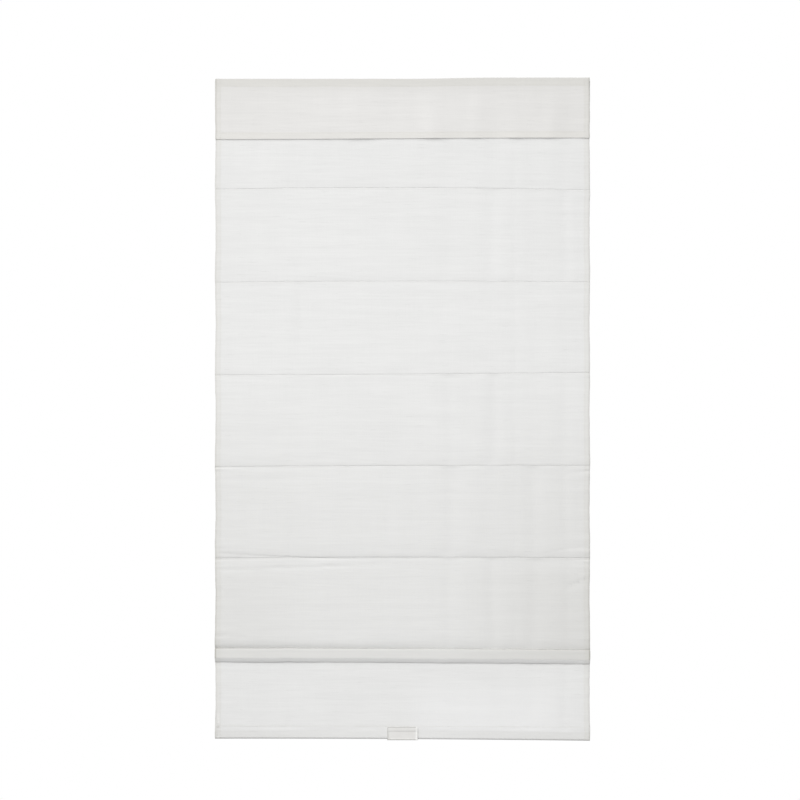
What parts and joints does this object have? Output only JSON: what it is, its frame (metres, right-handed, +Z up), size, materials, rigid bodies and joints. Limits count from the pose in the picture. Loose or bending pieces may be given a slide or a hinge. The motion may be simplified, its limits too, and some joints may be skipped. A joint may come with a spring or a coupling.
{
  "type": "roman blind",
  "caption": "Cordless roman blind: cloth panel with cross ribs, front valance, spring headrail, bottom rail and pull handle.",
  "frame": {"origin": "middle of the four ceiling screw holes, level with the brackets' top faces", "axes": "+Z up towards the ceiling, +Y towards the window, X across the window"},
  "size_m": [0.914, 0.0513, 1.626],
  "materials": {
    "cloth": "slub weave, off-white",
    "white_steel": "baked enamel",
    "zinc_steel": "zinc plated",
    "spring_steel": "blank strip",
    "white_plastic": "moulded",
    "drum_plastic": "natural acetal",
    "pale_plastic": "clear moulded",
    "glass_fibre": "pultruded",
    "fastening_tape": "hook and loop",
    "rail_aluminium": "mill finish"
  },
  "bodies": {
    "root": {"headrail": "white_steel", "headrail_end_cap_left": "white_plastic", "headrail_end_cap_right": "white_plastic", "bracket_left": "zinc_steel", "bracket_right": "zinc_steel", "bracket_rivet_left": "zinc_steel", "bracket_rivet_right": "zinc_steel", "motor_base": "white_plastic", "motor_cover": "white_plastic", "motor_screws": "zinc_steel", "motor_spring": "spring_steel", "cord_guide_left": "white_plastic", "cord_guide_right": "white_plastic", "pulley_pin_left": "zinc_steel", "pulley_pin_right": "zinc_steel", "hook_tape": "fastening_tape", "loop_tape": "fastening_tape", "valance": "cloth", "fabric_panel": "cloth"},
    "bottom_rail": {"bottom_rail": "rail_aluminium", "bottom_rail_cap_left": "white_plastic", "bottom_rail_cap_right": "white_plastic", "cord_anchor_left": "white_plastic", "cord_anchor_right": "white_plastic", "pull_handle": "pale_plastic", "handle_screws": "zinc_steel"},
    "rib_1": {"rib_1": "glass_fibre", "rib_rings_1": "white_plastic"},
    "rib_2": {"rib_2": "glass_fibre", "rib_rings_2": "white_plastic"},
    "rib_3": {"rib_3": "glass_fibre", "rib_rings_3": "white_plastic"},
    "rib_4": {"rib_4": "glass_fibre", "rib_rings_4": "white_plastic"},
    "rib_5": {"rib_5": "glass_fibre", "rib_rings_5": "white_plastic"},
    "rib_6": {"rib_6": "glass_fibre", "rib_rings_6": "white_plastic"},
    "spool_left": {"spool_left": "drum_plastic"},
    "spring_drum": {"spring_drum": "drum_plastic"},
    "storage_drum": {"storage_drum": "drum_plastic"},
    "spool_right": {"spool_right": "drum_plastic"},
    "pulley_left": {"pulley_left": "drum_plastic"},
    "pulley_right": {"pulley_right": "drum_plastic"},
    "bracket_cam_left": {"bracket_cam_left": "zinc_steel"},
    "bracket_cam_right": {"bracket_cam_right": "zinc_steel"}
  },
  "joints": [
    {"name": "bottom_rail_lift", "type": "slide", "parent": "root", "child": "bottom_rail", "axis": [0, 0, 1], "range_m": [0, 1.282], "deforming": ["fabric_panel"]},
    {"name": "rib_1_lift", "type": "slide", "parent": "root", "child": "rib_1", "axis": [0, 0, 1], "range_m": [0, 0.18324]},
    {"name": "rib_2_lift", "type": "slide", "parent": "root", "child": "rib_2", "axis": [0, 0, 1], "range_m": [0, 0.36639]},
    {"name": "rib_3_lift", "type": "slide", "parent": "root", "child": "rib_3", "axis": [0, 0, 1], "range_m": [0, 0.54953]},
    {"name": "rib_4_lift", "type": "slide", "parent": "root", "child": "rib_4", "axis": [0, 0, 1], "range_m": [0, 0.73267]},
    {"name": "rib_5_lift", "type": "slide", "parent": "root", "child": "rib_5", "axis": [0, 0, 1], "range_m": [0, 0.91581]},
    {"name": "rib_6_lift", "type": "slide", "parent": "root", "child": "rib_6", "axis": [0, 0, 1], "range_m": [0, 1.09896]},
    {"name": "spool_left_turn", "type": "hinge", "parent": "root", "child": "spool_left", "pos_m": [-0.045, 0, -0.03], "axis": [0, 0, 1], "continuous": true},
    {"name": "spring_drum_turn", "type": "hinge", "parent": "root", "child": "spring_drum", "pos_m": [-0.015, 0, -0.03], "axis": [0, 0, 1], "continuous": true},
    {"name": "storage_drum_turn", "type": "hinge", "parent": "root", "child": "storage_drum", "pos_m": [0.015, 0, -0.03], "axis": [0, 0, 1], "continuous": true},
    {"name": "spool_right_turn", "type": "hinge", "parent": "root", "child": "spool_right", "pos_m": [0.045, 0, -0.03], "axis": [0, 0, 1], "continuous": true},
    {"name": "pulley_left_turn", "type": "hinge", "parent": "root", "child": "pulley_left", "pos_m": [-0.276, -0.0081, -0.0332], "axis": [0, 1, 0], "continuous": true},
    {"name": "pulley_right_turn", "type": "hinge", "parent": "root", "child": "pulley_right", "pos_m": [0.276, -0.0081, -0.0332], "axis": [0, 1, 0], "continuous": true},
    {"name": "bracket_cam_left_turn", "type": "hinge", "parent": "root", "child": "bracket_cam_left", "pos_m": [-0.35, 0, -0.004], "axis": [0, 0, -1], "range_deg": [0, 90]},
    {"name": "bracket_cam_right_turn", "type": "hinge", "parent": "root", "child": "bracket_cam_right", "pos_m": [0.35, 0, -0.004], "axis": [0, 0, 1], "range_deg": [0, 90]}
  ],
  "couplings": [
    {"joint": "rib_1_lift", "follows": "bottom_rail_lift", "ratio": 0.14286},
    {"joint": "rib_2_lift", "follows": "bottom_rail_lift", "ratio": 0.28571},
    {"joint": "rib_3_lift", "follows": "bottom_rail_lift", "ratio": 0.42857},
    {"joint": "rib_4_lift", "follows": "bottom_rail_lift", "ratio": 0.57143},
    {"joint": "rib_5_lift", "follows": "bottom_rail_lift", "ratio": 0.71429},
    {"joint": "rib_6_lift", "follows": "bottom_rail_lift", "ratio": 0.85714},
    {"joint": "spool_left_turn", "follows": "bottom_rail_lift", "rad_per_m": 95.238},
    {"joint": "spring_drum_turn", "follows": "bottom_rail_lift", "rad_per_m": -95.238},
    {"joint": "storage_drum_turn", "follows": "bottom_rail_lift", "rad_per_m": 95.238},
    {"joint": "spool_right_turn", "follows": "bottom_rail_lift", "rad_per_m": -95.238},
    {"joint": "pulley_left_turn", "follows": "bottom_rail_lift", "rad_per_m": 250},
    {"joint": "pulley_right_turn", "follows": "bottom_rail_lift", "rad_per_m": -250}
  ]
}
